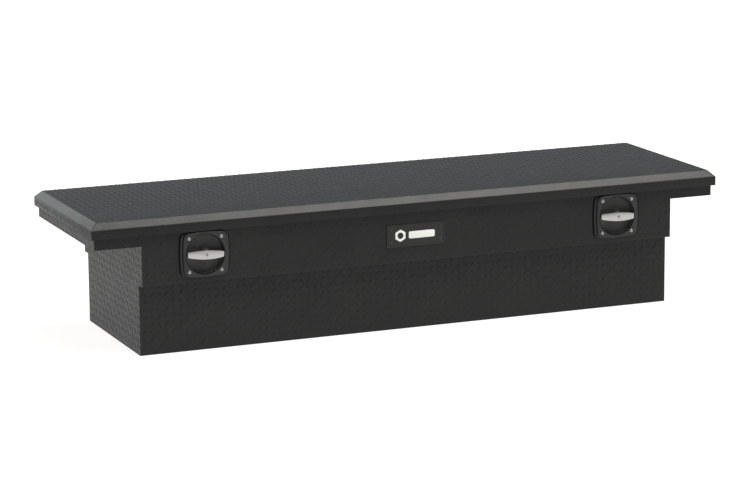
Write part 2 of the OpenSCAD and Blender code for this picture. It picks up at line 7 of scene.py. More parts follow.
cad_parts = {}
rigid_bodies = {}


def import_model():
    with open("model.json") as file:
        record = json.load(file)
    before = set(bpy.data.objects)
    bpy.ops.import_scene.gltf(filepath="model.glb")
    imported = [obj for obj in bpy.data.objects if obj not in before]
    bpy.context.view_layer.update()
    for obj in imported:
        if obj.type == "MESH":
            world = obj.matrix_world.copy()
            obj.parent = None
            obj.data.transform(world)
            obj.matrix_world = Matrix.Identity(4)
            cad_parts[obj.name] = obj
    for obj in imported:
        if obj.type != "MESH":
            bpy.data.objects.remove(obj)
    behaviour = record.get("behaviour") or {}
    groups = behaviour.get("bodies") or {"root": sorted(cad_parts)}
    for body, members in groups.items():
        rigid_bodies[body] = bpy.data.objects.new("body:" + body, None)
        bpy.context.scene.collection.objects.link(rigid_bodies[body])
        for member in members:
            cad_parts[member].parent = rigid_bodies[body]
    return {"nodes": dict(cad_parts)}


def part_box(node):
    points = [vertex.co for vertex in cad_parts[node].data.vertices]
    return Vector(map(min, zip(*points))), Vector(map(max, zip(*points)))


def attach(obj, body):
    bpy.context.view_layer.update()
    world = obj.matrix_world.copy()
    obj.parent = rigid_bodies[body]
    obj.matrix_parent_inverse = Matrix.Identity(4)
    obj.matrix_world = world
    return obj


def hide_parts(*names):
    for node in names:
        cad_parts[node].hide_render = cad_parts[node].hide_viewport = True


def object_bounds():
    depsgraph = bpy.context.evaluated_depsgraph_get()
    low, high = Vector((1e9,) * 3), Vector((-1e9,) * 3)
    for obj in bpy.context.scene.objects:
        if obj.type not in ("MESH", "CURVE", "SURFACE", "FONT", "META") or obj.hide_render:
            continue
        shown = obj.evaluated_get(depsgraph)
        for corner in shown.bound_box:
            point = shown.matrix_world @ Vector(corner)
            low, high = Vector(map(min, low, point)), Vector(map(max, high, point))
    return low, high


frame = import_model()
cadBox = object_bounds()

print("frame loaded:", len(frame["nodes"]), "nodes")

sides = {"left": -1, "right": 1}  # each side's sign along X
mostly, squarely = 0.9, 0.99  # how far a face or an edge points one way to be picked
same = 1e-5  # points closer than this are one point
past = 0.01  # how far a cutter runs past what it cuts
overlap = 0.001  # how far joined solids run into each other
play = 0.0002  # room between a turning piece and its bore


# ways to add, pick and shape
def deselectAll():
    if bpy.context.mode != "OBJECT":
        bpy.ops.object.mode_set(mode="OBJECT")
    bpy.ops.object.select_all(action="DESELECT")


def activate(piece):
    deselectAll()
    piece.select_set(True)
    bpy.context.view_layer.objects.active = piece


def settle(piece, name):  # the place goes into the mesh, so the object sits at the origin
    activate(piece)
    bpy.ops.object.transform_apply(location=True, rotation=True, scale=True)
    piece.name = name
    piece.data.name = name
    return piece


def addBox(name, low, high):
    deselectAll()
    low, high = Vector(low), Vector(high)
    bpy.ops.mesh.primitive_cube_add(size=1, location=(low + high) / 2)
    box = bpy.context.active_object
    box.scale = high - low
    return settle(box, name)


def addRod(name, radius, start, end, around=64):
    deselectAll()
    start, end = Vector(start), Vector(end)
    turn = (end - start).to_track_quat("Z", "Y").to_euler()
    bpy.ops.mesh.primitive_cylinder_add(vertices=around, radius=radius, depth=(end - start).length,
                                        location=(start + end) / 2, rotation=turn)
    return settle(bpy.context.active_object, name)


def pick(piece, kind, wanted):  # wanted(place, normal) for faces, wanted(place, direction) for edges
    activate(piece)
    bpy.ops.object.mode_set(mode="EDIT")
    bpy.ops.mesh.select_mode(type=kind)
    bpy.ops.mesh.select_all(action="DESELECT")
    bpy.ops.object.mode_set(mode="OBJECT")
    mesh = piece.data
    if kind == "FACE":
        for face in mesh.polygons:
            face.select = wanted(face.center, face.normal)
    else:
        for edge in mesh.edges:
            start, end = [mesh.vertices[i].co for i in edge.vertices]
            edge.select = wanted((start + end) / 2, (end - start).normalized())
            if edge.select:
                for i in edge.vertices:
                    mesh.vertices[i].select = True
    bpy.ops.object.mode_set(mode="EDIT")


def extrude(move):
    bpy.ops.mesh.extrude_region_move(TRANSFORM_OT_translate={"value": move})


def widen(factors, middle=(0, 0, 0)):
    bpy.ops.transform.resize(value=factors, center_override=middle)


def finishWith(piece, kind, **values):
    activate(piece)
    tool = piece.modifiers.new(kind.lower(), kind)
    for key, value in values.items():
        setattr(tool, key, value)
    bpy.ops.object.modifier_apply(modifier=tool.name)


def soften(piece, width, segments, angle):
    finishWith(piece, "BEVEL", width=width, segments=segments, limit_method="ANGLE",
               angle_limit=math.radians(angle), use_clamp_overlap=True)


def combine(piece, other, how):
    finishWith(piece, "BOOLEAN", object=other, operation=how, solver="EXACT")
    bpy.data.objects.remove(other)


def smoothen(piece, angle=32):
    activate(piece)
    bpy.ops.object.shade_smooth_by_angle(angle=math.radians(angle))


def joinAll(name, pieces):
    activate(pieces[0])
    for piece in pieces:
        piece.select_set(True)
    bpy.ops.object.join()
    return settle(pieces[0], name)


def copyOf(piece, name, move):  # a copy with its own mesh, moved in its mesh
    twin = piece.copy()
    twin.data = piece.data.copy()
    bpy.context.collection.objects.link(twin)
    twin.data.transform(move)
    twin.name = name
    twin.data.name = name
    return twin


def softOutline(halfWidth, halfHeight, bulgeAcross, bulgeUp, corner):
    # four long arcs and four corner arcs: their eight meeting points, each with its two handles
    acrossR = (halfWidth ** 2 + bulgeUp ** 2) / (2 * bulgeUp)
    sideR = (halfHeight ** 2 + bulgeAcross ** 2) / (2 * bulgeAcross)
    topMid, sideMid = Vector((0, halfHeight - acrossR)), Vector((halfWidth - sideR, 0))
    cx, cz = halfWidth - corner, halfHeight - corner
    for attempt in range(30):  # the corner's middle settles where the arcs meet smoothly
        cz = topMid.y + math.sqrt((acrossR - corner) ** 2 - cx ** 2)
        cx = sideMid.x + math.sqrt((sideR - corner) ** 2 - cz ** 2)
    middle = Vector((cx, cz))
    toSide, toTop = (middle - sideMid).normalized(), (middle - topMid).normalized()
    sideAngle, topAngle = math.atan2(toSide.y, toSide.x), math.atan2(toTop.x, toTop.y)
    cornerAngle = math.pi / 2 - sideAngle - topAngle

    def reach(radius, sweep):
        return radius * math.tan(sweep / 4) * 4 / 3

    atSide, atTop = sideMid + toSide * sideR, topMid + toTop * acrossR
    points = []
    for sx, sz in ((1, 1), (-1, 1), (-1, -1), (1, -1)):
        pair = [(atSide, toSide, reach(sideR, 2 * sideAngle), reach(corner, cornerAngle)),
                (atTop, toTop, reach(corner, cornerAngle), reach(acrossR, 2 * topAngle))]
        if sx * sz < 0:
            pair = [(spot, normal, after, before) for spot, normal, before, after in reversed(pair)]
        for spot, normal, before, after in pair:
            here = Vector((spot.x * sx, spot.y * sz))
            out = Vector((normal.x * sx, normal.y * sz))
            along = Vector((-out.y, out.x))
            points.append((here, here - along * before, here + along * after))
    return points


outlineSizes = {"steps": 8, "round": 4, "flat": 0.1}


def addOutline(name, points, y=0, thickness=0, depth=0):
    # a closed curve: filled and thick, facing the front, or a round cord lying flat
    deselectAll()
    bpy.ops.curve.primitive_bezier_circle_add(radius=1, location=(0, 0, 0))
    outline = bpy.context.active_object
    bpy.ops.object.mode_set(mode="EDIT")
    bpy.ops.curve.select_all(action="SELECT")
    bpy.ops.curve.subdivide(number_cuts=1)
    bpy.ops.object.mode_set(mode="OBJECT")
    shape = outline.data
    shape.dimensions = "2D" if thickness else "3D"
    shape.fill_mode = "BOTH" if thickness else "FULL"
    shape.resolution_u = outlineSizes["steps"]
    shape.extrude = thickness / 2
    shape.bevel_depth = depth
    shape.bevel_resolution = outlineSizes["round"]
    for knot, (here, before, after) in zip(shape.splines[0].bezier_points, points):
        knot.handle_left_type = knot.handle_right_type = "FREE"
        knot.co = (here.x, here.y, 0)
        knot.handle_left = (before.x, before.y, 0)
        knot.handle_right = (after.x, after.y, 0)
    activate(outline)
    bpy.ops.object.convert(target="MESH")
    outline = bpy.context.active_object
    if thickness:
        outline.rotation_euler = (math.pi / 2, 0, 0)
        outline.location = (0, y, 0)
    settle(outline, name)
    bpy.ops.object.mode_set(mode="EDIT")
    bpy.ops.mesh.select_all(action="SELECT")
    bpy.ops.mesh.remove_doubles(threshold=same)
    bpy.ops.mesh.normals_make_consistent(inside=False)
    bpy.ops.mesh.dissolve_limited(angle_limit=math.radians(outlineSizes["flat"]))
    bpy.ops.object.mode_set(mode="OBJECT")
    return outline


# finishes
class Wire:  # one socket of a finish: sums written with it add their nodes
    def __init__(self, finish, socket):
        self.finish = finish
        self.socket = socket

    def __add__(self, other):
        return self.finish.sum("ADD", self, other)

    def __mul__(self, other):
        return self.finish.sum("MULTIPLY", self, other)

    __radd__ = __add__
    __rmul__ = __mul__


class Finish:  # a material on the Principled shader
    def __init__(self, name, **values):
        self.material = bpy.data.materials.new(name)
        self.material.use_nodes = True
        self.tree = self.material.node_tree
        self.shader = self.tree.nodes["Principled BSDF"]
        self.place = Wire(self, self.node("ShaderNodeTexCoord").outputs["Object"])
        self.give(self.shader, values)

    def give(self, node, values):
        for key, value in values.items():
            if isinstance(value, Wire):
                self.tree.links.new(value.socket, node.inputs[key])
            else:
                node.inputs[key].default_value = value

    def node(self, kind, settings=None, inputs=None):
        made = self.tree.nodes.new(kind)
        for key, value in (settings or {}).items():
            if key == "stops":
                for stop, (at, shade) in zip(made.color_ramp.elements, value):
                    stop.position = at
                    stop.color = (shade, shade, shade, 1)
            else:
                setattr(made, key, value)
        self.give(made, inputs or {})
        return made

    def sum(self, how, *values):
        made = self.node("ShaderNodeMath", {"operation": how}, dict(enumerate(values)))
        return Wire(self, made.outputs[0])

    def stretched(self, factors):
        made = self.node("ShaderNodeMapping", None, {"Vector": self.place, "Scale": factors})
        return Wire(self, made.outputs["Vector"])

    def grain(self, scale, detail, roughness=0.55, place=None):
        made = self.node("ShaderNodeTexNoise", None, {"Vector": place or self.place, "Scale": scale,
                                                      "Detail": detail, "Roughness": roughness})
        return Wire(self, made.outputs["Fac"])

    def cells(self, scale):
        made = self.node("ShaderNodeTexVoronoi", None, {"Vector": self.place, "Scale": scale})
        return Wire(self, made.outputs["Distance"])

    def ramp(self, value, low, high):
        made = self.node("ShaderNodeValToRGB", {"stops": ((low, 0), (high, 1))}, {"Fac": value})
        return Wire(self, made.outputs["Color"])

    def mix(self, mask, first, second):
        made = self.node("ShaderNodeMix", {"data_type": "RGBA"}, {0: mask, 6: (*first, 1), 7: (*second, 1)})
        return Wire(self, made.outputs[2])

    def bump(self, height, distance, strength):
        made = self.node("ShaderNodeBump", None, {"Height": height, "Distance": distance,
                                                  "Strength": strength})
        self.give(self.shader, {"Normal": Wire(self, made.outputs["Normal"])})


def powderCoat():  # fine-textured black powder coat over tread plate; on the housings' sloping sides it is painted shade
    coatAndPaintedShade = Finish("powderCoat", IOR=1.325)
    peel = coatAndPaintedShade.grain(520, 4, 0.6)
    mottle = coatAndPaintedShade.ramp(coatAndPaintedShade.grain(9, 4), 0.35, 0.68)
    coatAndPaintedShade.give(coatAndPaintedShade.shader, {
        "Base Color": coatAndPaintedShade.mix(mottle, (0.0105, 0.0106, 0.0105), (0.0135, 0.0136, 0.0134)),
        "Roughness": 0.36 + coatAndPaintedShade.grain(30, 3) * 0.12 + peel * 0.06})
    coatAndPaintedShade.bump(peel + coatAndPaintedShade.grain(1500, 2) * 0.35, 0.00022, 0.8)
    return coatAndPaintedShade


def castBlack():  # satin black over a die casting
    cast = Finish("castBlack", IOR=1.38)
    fine = cast.grain(1400, 3)
    cloud = cast.ramp(cast.grain(40, 3), 0.3, 0.7)
    cast.give(cast.shader, {
        "Base Color": cast.mix(cloud, (0.020, 0.020, 0.020), (0.025, 0.025, 0.025)),
        "Roughness": 0.36 + fine * 0.12})
    cast.bump(fine, 0.00008, 0.6)
    return cast


def paleBlackAndPaintedFill():  # a paler black; inside the dish it is lightened to paint fill light over the dish's shade
    inner = Finish("paleBlackAndPaintedFill", IOR=1.36)
    fine = inner.grain(1200, 3)
    cloud = inner.ramp(inner.grain(60, 3), 0.3, 0.7)
    inner.give(inner.shader, {
        "Base Color": inner.mix(cloud, (0.042, 0.042, 0.041), (0.050, 0.050, 0.049)),
        "Roughness": 0.5 + fine * 0.15})
    inner.bump(fine, 0.00008, 0.6)
    return inner


def brushedMetal(name, shade, rough, scale, depth):  # fine lines along the axis with the least scale
    metal = Finish(name, Metallic=1.0)
    lines = metal.grain(1, 3, 0.6, metal.stretched(scale))
    metal.give(metal.shader, {
        "Base Color": metal.mix(lines, [c * 0.9 for c in shade], shade),
        "Roughness": rough + lines * 0.12})
    metal.bump(lines, depth, 0.5)
    return metal


def zincPlate():  # plated zinc, faintly yellow, with pale spangles
    zinc = Finish("zincPlate", Metallic=0.95)
    spangle = zinc.ramp(zinc.cells(160), 0.1, 0.7)
    cloud = zinc.grain(25, 3)
    zinc.give(zinc.shader, {
        "Base Color": zinc.mix(spangle, (0.60, 0.58, 0.50), (0.50, 0.50, 0.46)),
        "Roughness": 0.3 + spangle * 0.12 + cloud * 0.14})
    zinc.bump(cloud, 0.0001, 0.4)
    return zinc


def rubberAndPaintedShade():  # dull black, a little uneven; on the dish lip and the keyhole walls it is painted shade
    seal = Finish("sealRubber", **{"Specular IOR Level": 0.12})
    fine = seal.grain(900, 4)
    seal.give(seal.shader, {"Base Color": seal.mix(fine, (0.005, 0.005, 0.005), (0.009, 0.009, 0.009)),
                            "Roughness": 0.68 + fine * 0.2})
    seal.bump(fine, 0.0002, 0.7)
    return seal


def badgeGrey():  # a lightly brushed dark plate
    plate = Finish("badgeGrey", IOR=1.37)
    lines = plate.grain(1, 3, 0.6, plate.stretched((18, 400, 1300)))
    plate.give(plate.shader, {"Base Color": plate.mix(lines, (0.014, 0.014, 0.013), (0.021, 0.021, 0.020)),
                              "Roughness": 0.36 + lines * 0.16})
    plate.bump(lines, 0.00004, 0.6)
    return plate


def whiteEnamel():  # the paint of the badge's mark
    enamel = Finish("whiteEnamel")
    worn = enamel.grain(300, 3)
    enamel.give(enamel.shader, {"Base Color": enamel.mix(worn, (0.74, 0.75, 0.72), (0.86, 0.87, 0.84)),
                                "Roughness": 0.3 + worn * 0.1})
    enamel.bump(worn, 0.00005, 0.4)
    return enamel


def foamCore():  # open pores, as where foam is cut
    foam = Finish("foamCore")
    pores = foam.cells(320)
    foam.give(foam.shader, {"Base Color": foam.mix(pores, (0.60, 0.52, 0.33), (0.80, 0.73, 0.52)),
                            "Roughness": 0.85 + pores * 0.1})
    foam.bump(pores, 0.0008, 0.8)
    return foam


def nylon():  # slightly see-through white
    slip = Finish("nylonWhite", **{"Subsurface Weight": 0.15, "Subsurface Radius": (0.004, 0.004, 0.003)})
    cloud = slip.grain(120, 3)
    slip.give(slip.shader, {"Base Color": slip.mix(cloud, (0.70, 0.69, 0.64), (0.80, 0.79, 0.75)),
                            "Roughness": 0.38 + cloud * 0.14})
    slip.bump(cloud, 0.0001, 0.4)
    return slip


finishes = {
    "coatAndPaintedShade": powderCoat(),
    "cast": castBlack(),
    "inner": paleBlackAndPaintedFill(),
    "bar": brushedMetal("polishedBar", (0.47, 0.47, 0.465), 0.26, (40, 1100, 1100), 0.000005),
    # the bar's edges: a brighter copy of the bar metal that paints their highlight
    "barEdgePaintedHighlight": brushedMetal("barEdgePaintedHighlight", (0.74, 0.74, 0.73), 0.16, (40, 900, 900), 0.000003),
    "plug": brushedMetal("plugSteel", (0.42, 0.42, 0.41), 0.24, (900, 60, 900), 0.000005),
    "rod": brushedMetal("chromeRod", (0.78, 0.79, 0.80), 0.06, (900, 60, 60), 0.00001),
    "stainless": brushedMetal("stainless", (0.37, 0.37, 0.365), 0.3, (40, 900, 900), 0.00003),
    "zinc": zincPlate(),
    "rubberAndPaintedShade": rubberAndPaintedShade(),
    "badge": badgeGrey(),
    "enamel": whiteEnamel(),
    "foam": foamCore(),
    "nylon": nylon(),
}
print("finishes ready:", len(finishes))


def dress(piece, finish):
    piece.data.materials.clear()
    piece.data.materials.append(finishes[finish].material)


def place(piece, body, slot, finish, *nodes):
    dress(piece, finish)
    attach(piece, body)
    if nodes:
        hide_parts(*nodes)


nodeFinishes = {
    "coatAndPaintedShade": ["end_wall_left", "end_wall_right", "wing_left", "wing_right", "rim_frame", "lid_pan",
             "tool_tray", "tray_end_left", "tray_end_right", "tray_divider"],
    "stainless": ["hinge_leaf_tub", "hinge_leaf_lid", "hinge_pin", "hinge_rivets_tub", "hinge_rivets_lid",
                  "return_spring_left", "return_spring_right", "striker_left", "striker_right",
                  "striker_screws", "latch_pivots"],
    "zinc": ["latch_base_left", "latch_base_right", "latch_cover_left", "latch_cover_right", "latch_screws",
             "latch_fork_left", "latch_fork_right", "latch_pawl_left", "latch_pawl_right",
             "handle_stem_left", "handle_stem_right", "trip_cam_left", "trip_cam_right",
             "stem_nut_left", "stem_nut_right", "strut_mount_tub_left", "strut_mount_tub_right",
             "strut_mount_lid_left", "strut_mount_lid_right"],
    "cast": ["strut_cylinder_left", "strut_cylinder_right"],
    "rod": ["strut_rod_left", "strut_rod_right"],
    "foam": ["lid_core"],
    "nylon": ["tray_glides"],
}
for finish, names in nodeFinishes.items():
    for name in names:
        dress(frame["nodes"][name], finish)

# camera
cameraSizes = {"place": (-3.022, -7.228, 1.833), "yaw": 22.596, "down": 11.984, "roll": -0.441,
               "lens": 142.22, "sensor": 36}
bpy.ops.object.camera_add(location=cameraSizes["place"])
camera = bpy.context.active_object
aim = Euler((math.radians(90 - cameraSizes["down"]), 0, -math.radians(cameraSizes["yaw"]))).to_matrix()
roll = Matrix.Rotation(math.radians(cameraSizes["roll"]), 3, "Z")
camera.rotation_euler = (aim @ roll).to_euler()
camera.data.lens = cameraSizes["lens"]
camera.data.sensor_width = cameraSizes["sensor"]
bpy.context.scene.camera = camera

# lid
lidSizes = {"bevel": 0.017, "sheet": 0.002, "bend": 0.0016}  # bevel: as wide as it is high
lidLow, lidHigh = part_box("lid_skin")
lidShell = addBox("lidShell", lidLow, (lidHigh.x, lidHigh.y, lidHigh.z - lidSizes["bevel"]))
pick(lidShell, "FACE", lambda at, normal: normal.z > mostly)
extrude((0, 0, lidSizes["bevel"]))
widen((1 - lidSizes["bevel"] / lidHigh.x, 1 - lidSizes["bevel"] / lidHigh.y, 1))
pick(lidShell, "FACE", lambda at, normal: normal.z < -mostly)
bpy.ops.mesh.delete(type="FACE")
bpy.ops.object.mode_set(mode="OBJECT")
soften(lidShell, lidSizes["bend"], segments=3, angle=30)
finishWith(lidShell, "SOLIDIFY", thickness=lidSizes["sheet"], offset=-1, use_even_offset=True)
smoothen(lidShell)
place(lidShell, "lid", "black_tread_plate", "coatAndPaintedShade", "lid_skin")
print("lid shell done")

# tub
tubSizes = {"length": 1.509, "lowDepth": 0.434, "upDepth": 0.489, "ledge": 0.185, "wing": 0.291,
            "rim": 0.318, "wingSpan": 1.757, "sheet": 0.002, "bend": 0.0028, "handleX": 0.587,
            "handleZ": 0.259, "dishHole": 0.054}
panelY = -tubSizes["upDepth"] / 2
deselectAll()
bpy.ops.mesh.primitive_plane_add(size=1)
tubSkin = bpy.context.active_object
tubSkin.scale = (tubSizes["length"], tubSizes["lowDepth"], 1)
settle(tubSkin, "tubSkin")
pick(tubSkin, "EDGE", lambda at, along: abs(along.x) > mostly)
extrude((0, 0, tubSizes["ledge"]))
extrude((0, 0, 0))
widen((1, tubSizes["upDepth"] / tubSizes["lowDepth"], 1))
extrude((0, 0, tubSizes["wing"] - tubSizes["ledge"]))
extrude((0, 0, tubSizes["rim"] - tubSizes["wing"]))
pick(tubSkin, "EDGE", lambda at, along: abs(along.z) > mostly and at.z > tubSizes["wing"])
extrude((0, 0, 0))
widen((tubSizes["wingSpan"] / tubSizes["length"], 1, 1))
bpy.ops.mesh.select_all(action="SELECT")
bpy.ops.mesh.remove_doubles(threshold=same)
bpy.ops.mesh.normals_make_consistent(inside=False)
bpy.ops.object.mode_set(mode="OBJECT")
floorFace = min(tubSkin.data.polygons, key=lambda face: face.center.z)
if floorFace.normal.z > 0:
    tubSkin.data.flip_normals()
soften(tubSkin, tubSizes["bend"], segments=4, angle=30)
finishWith(tubSkin, "SOLIDIFY", thickness=tubSizes["sheet"], offset=-1, use_even_offset=True)
for sign in sides.values():
    handleAt = sign * tubSizes["handleX"]
    hole = addRod("hole", tubSizes["dishHole"], (handleAt, panelY - past, tubSizes["handleZ"]),
                  (handleAt, panelY + past, tubSizes["handleZ"]), around=96)
    combine(tubSkin, hole, "DIFFERENCE")
smoothen(tubSkin)
place(tubSkin, "tub", "black_tread_plate", "coatAndPaintedShade", "tub_shell")
print("tub skin done")

# raised tread bars
treadSizes = {"pitch": 0.0195, "length": 0.0172, "width": 0.0043, "rise": 0.0006, "sunk": 0.0002,
              "around": 8, "foot": 0.4,  # how much of the rise is upright
              "crest": (0.8, 0.42),  # how long and wide the crest stays
              "edge": 0.0012, "fold": 0.003,  # plain margins beside a cut edge or bend, and beside a corner
              "aboveFloor": 0.004, "aboveLedge": 0.002, "housing": (0.0675, 0.061)}


def treadUnit():  # four bars, each pair crossing the other
    size = treadSizes
    foot = size["rise"] * size["foot"]
    bar = addRod("treadBar", 1 / 2, (0, 0, -size["sunk"]), (0, 0, foot), size["around"])  # one unit across
    bar.scale = (size["length"], size["width"], 1)
    settle(bar, "treadBar")
    pick(bar, "FACE", lambda at, normal: normal.z > mostly)
    extrude((0, 0, size["rise"] - foot))
    widen((*size["crest"], 1), (0, 0, size["rise"]))
    bpy.ops.object.mode_set(mode="OBJECT")
    bars = []
    for i, j in ((0, 0), (1, 0), (0, 1), (1, 1)):
        turn = Matrix.Rotation(math.radians(45 if (i + j) % 2 else -45), 4, "Z")
        move = Matrix.Translation((i * size["pitch"], j * size["pitch"], 0))
        bars.append(copyOf(bar, "treadBar", move @ turn))
    bpy.data.objects.remove(bar)
    return joinAll("treadUnit", bars)


unit = treadUnit()
panelAxes = {  # where a field's own X, Y and Z point
    "top": ((1, 0, 0), (0, 1, 0), (0, 0, 1)),
    "front": ((1, 0, 0), (0, 0, 1), (0, -1, 0)),
    "back": ((-1, 0, 0), (0, 0, 1), (0, 1, 0)),
    "left": ((0, -1, 0), (0, 0, 1), (-1, 0, 0)),
    "right": ((0, 1, 0), (0, 0, 1), (1, 0, 0))}


def treadField(facing, depth, low, high, keepOut=()):
    # low and high are corners on the panel, depth is how far out it lies, and keepOut lists
    # left, bottom, right and top of what stays plain
    step = 2 * treadSizes["pitch"]
    first = [math.floor(low[k] / step) - 1 for k in (0, 1)]
    count = [math.ceil(high[k] / step) + 1 - first[k] for k in (0, 1)]
    field = copyOf(unit, "treadField", Matrix.Translation((first[0] * step, first[1] * step, 0)))
    for k in (0, 1):
        offset = [step, 0, 0] if k == 0 else [0, step, 0]
        finishWith(field, "ARRAY", count=count[k], use_relative_offset=False, use_constant_offset=True,
                   constant_offset_displace=offset)
    for corner, sign in ((low, -1), (high, 1)):
        for k in (0, 1):
            spot, out = [0, 0, 0], [0, 0, 0]
            spot[k], out[k] = corner[k], sign
            pick(field, "FACE", lambda at, normal: True)
            bpy.ops.mesh.bisect(plane_co=spot, plane_no=out, use_fill=True, clear_outer=True)
            bpy.ops.object.mode_set(mode="OBJECT")
    for left, bottom, right, top in keepOut:
        pick(field, "FACE", lambda at, normal: left < at.x < right and bottom < at.y < top)
        bpy.ops.mesh.select_linked()
        bpy.ops.mesh.delete(type="VERT")
        bpy.ops.object.mode_set(mode="OBJECT")
    across, upward, out = [Vector(axis) for axis in panelAxes[facing]]
    turn = Matrix((across, upward, out)).transposed().to_4x4()
    field.data.transform(Matrix.Translation(out * depth) @ turn)
    return field


edge = treadSizes["edge"]
lidTopX, lidTopY = lidHigh.x - lidSizes["bevel"] - edge, lidHigh.y - lidSizes["bevel"] - edge
edgeLow, edgeHigh = lidLow.z + edge, lidHigh.z - lidSizes["bevel"] - edge
lidFields = [treadField("top", lidHigh.z, (-lidTopX, -lidTopY), (lidTopX, lidTopY))]
for facing, depth, half in (("front", lidHigh.y, lidHigh.x), ("back", lidHigh.y, lidHigh.x),
                            ("left", lidHigh.x, lidHigh.y), ("right", lidHigh.x, lidHigh.y)):
    lidFields.append(treadField(facing, depth, (-half + 2 * edge, edgeLow), (half - 2 * edge, edgeHigh)))
treadLid = joinAll("treadBarsLid", lidFields)
smoothen(treadLid, 25)
place(treadLid, "lid", "black_tread_plate", "coatAndPaintedShade")

badgeLow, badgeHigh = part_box("badge_plate")
halfTub, halfWing = tubSizes["length"] / 2, tubSizes["wingSpan"] / 2
roomX, roomZ = treadSizes["housing"]
plainSpots = [(sign * tubSizes["handleX"] - roomX, tubSizes["handleZ"] - roomZ,
               sign * tubSizes["handleX"] + roomX, tubSizes["handleZ"] + roomZ) for sign in sides.values()]
plainSpots.append((badgeLow.x, badgeLow.z, badgeHigh.x, badgeHigh.z))
lowStep, highStep = tubSizes["ledge"] - 2 * edge, tubSizes["ledge"] + 2 * edge
overWing, underRim = tubSizes["wing"] + 2 * edge, tubSizes["rim"] - edge
tubFields = []
for facing, spots in (("front", plainSpots), ("back", ())):
    low, high = (-halfTub + edge, highStep), (halfTub - edge, underRim)
    tubFields.append(treadField(facing, -panelY, low, high, spots))
    for sign in sides.values():
        inner, outer = sorted((sign * (halfTub - edge), sign * (halfWing - 2 * edge)))
        tubFields.append(treadField(facing, -panelY, (inner, overWing), (outer, underRim)))
    tubFields.append(treadField(facing, tubSizes["lowDepth"] / 2, (-halfTub + edge, 3 * edge),
                                (halfTub - edge, lowStep)))
ledgeEnd = tubSizes["ledge"] + treadSizes["aboveLedge"]
for facing in ("left", "right"):
    half = tubSizes["lowDepth"] / 2 - treadSizes["fold"]
    tubFields.append(treadField(facing, halfTub, (-half, treadSizes["aboveFloor"]), (half, ledgeEnd)))
    half = tubSizes["upDepth"] / 2 - treadSizes["fold"]
    tubFields.append(treadField(facing, halfTub, (-half, ledgeEnd), (half, tubSizes["wing"] - edge)))
    half -= edge
    tubFields.append(treadField(facing, halfWing, (-half, overWing), (half, underRim)))
treadTub = joinAll("treadBarsTub", tubFields)
smoothen(treadTub, 25)
place(treadTub, "tub", "black_tread_plate", "coatAndPaintedShade")
bpy.data.objects.remove(unit)
print("tread bars:", len(treadLid.data.polygons) + len(treadTub.data.polygons), "faces")

# handle housings
housingSizes = {"half": 0.0585, "bulge": 0.0042, "corner": 0.0155, "soft": 0.0014,  # the raised face
                "skirtHalf": (0.066, 0.0595), "rootHalf": (0.0618, 0.0590), "flange": 0.0034,
                "rise": 0.010, "seat": 0.0008, "wall": 0.003,
                "dish": 0.051, "dishDeep": 0.018, "dishRound": 0.004, "lip": 0.0021,
                "cupWall": 0.0025, "cupStart": 0.004, "stem": 0.005,
                "ring": 0.019, "ringRise": 0.0016, "ringSoft": 0.0007,
                "boss": 0.005, "bossBack": -0.220,
                "bosses": ((-0.036, 0.006), (0.020, 0.041), (0.020, -0.012))}


def handleHousing():
    size = housingSizes
    seatY, faceY = panelY - size["seat"], panelY - size["rise"]
    floorY = faceY + size["dishDeep"]
    backY = floorY + size["wall"]
    wide, high = size["skirtHalf"]
    block = addOutline("block", softOutline(wide, high, size["bulge"], size["bulge"], size["corner"]),
                       seatY - size["flange"] / 2, size["flange"])
    soften(block, size["soft"] / 2, segments=3, angle=50)
    wide, high = size["rootHalf"]
    rootY = seatY - overlap
    raised = addOutline("raised", softOutline(wide, high, size["bulge"], size["bulge"], size["corner"]),
                        (rootY + faceY) / 2, rootY - faceY)
    pick(raised, "FACE", lambda at, normal: normal.y < -squarely)
    widen((size["half"] / wide, 1, size["half"] / high), (0, faceY, 0))  # the sides slope in to the face
    bpy.ops.object.mode_set(mode="OBJECT")
    soften(raised, size["soft"], segments=4, angle=24)
    combine(block, raised, "UNION")
    cupR, lipR = size["dish"] + size["cupWall"], size["dish"] + size["lip"]
    cup = addRod("cup", cupR, (0, faceY + size["cupStart"], 0), (0, backY, 0), around=96)
    combine(block, cup, "UNION")
    dish = addRod("dish", size["dish"], (0, faceY - past, 0), (0, floorY, 0), around=96)
    pick(dish, "EDGE", lambda at, along: at.y > floorY - same)
    bpy.ops.mesh.bevel(offset=size["dishRound"], segments=4, affect="EDGES")
    bpy.ops.object.mode_set(mode="OBJECT")
    combine(block, dish, "DIFFERENCE")
    lip = addRod("lip", lipR, (0, faceY - overlap, 0), (0, faceY + size["lip"], 0), around=96)
    combine(block, lip, "DIFFERENCE")
    ring = addRod("ring", size["ring"], (0, floorY - size["ringRise"], 0), (0, floorY + overlap, 0))
    soften(ring, size["ringSoft"], segments=2, angle=50)
    combine(block, ring, "UNION")
    for x, z in size["bosses"]:
        boss = addRod("boss", size["boss"], (x, backY - overlap, z), (x, size["bossBack"], z), around=24)
        combine(block, boss, "UNION")
    bore = addRod("bore", size["stem"] + play, (0, faceY, 0), (0, backY + 2 * overlap, 0), around=48)
    combine(block, bore, "DIFFERENCE")
    return block


# where each finish of a housing ends: out from the dish's middle, and in from the face
shadeSizes = {"dishAway": 0.0515, "lipAway": 0.0533, "lipStart": 0.0002, "lipEnd": 0.0022,
              "sideAway": 0.055, "sideDeep": 0.0016}


def housingShade(away, deep):
    size = shadeSizes
    if away < size["dishAway"] and deep > size["lipEnd"]:
        return 1  # the dish in a paler black: painted fill light over its shade
    if away < size["lipAway"] and size["lipStart"] < deep < size["lipEnd"]:
        return 2  # the lip round the dish in black rubber: a painted shadow line
    if away > size["sideAway"] and deep > size["sideDeep"]:
        return 3  # the sloping sides and the flange, in the darker panel black: painted shade
    return 0


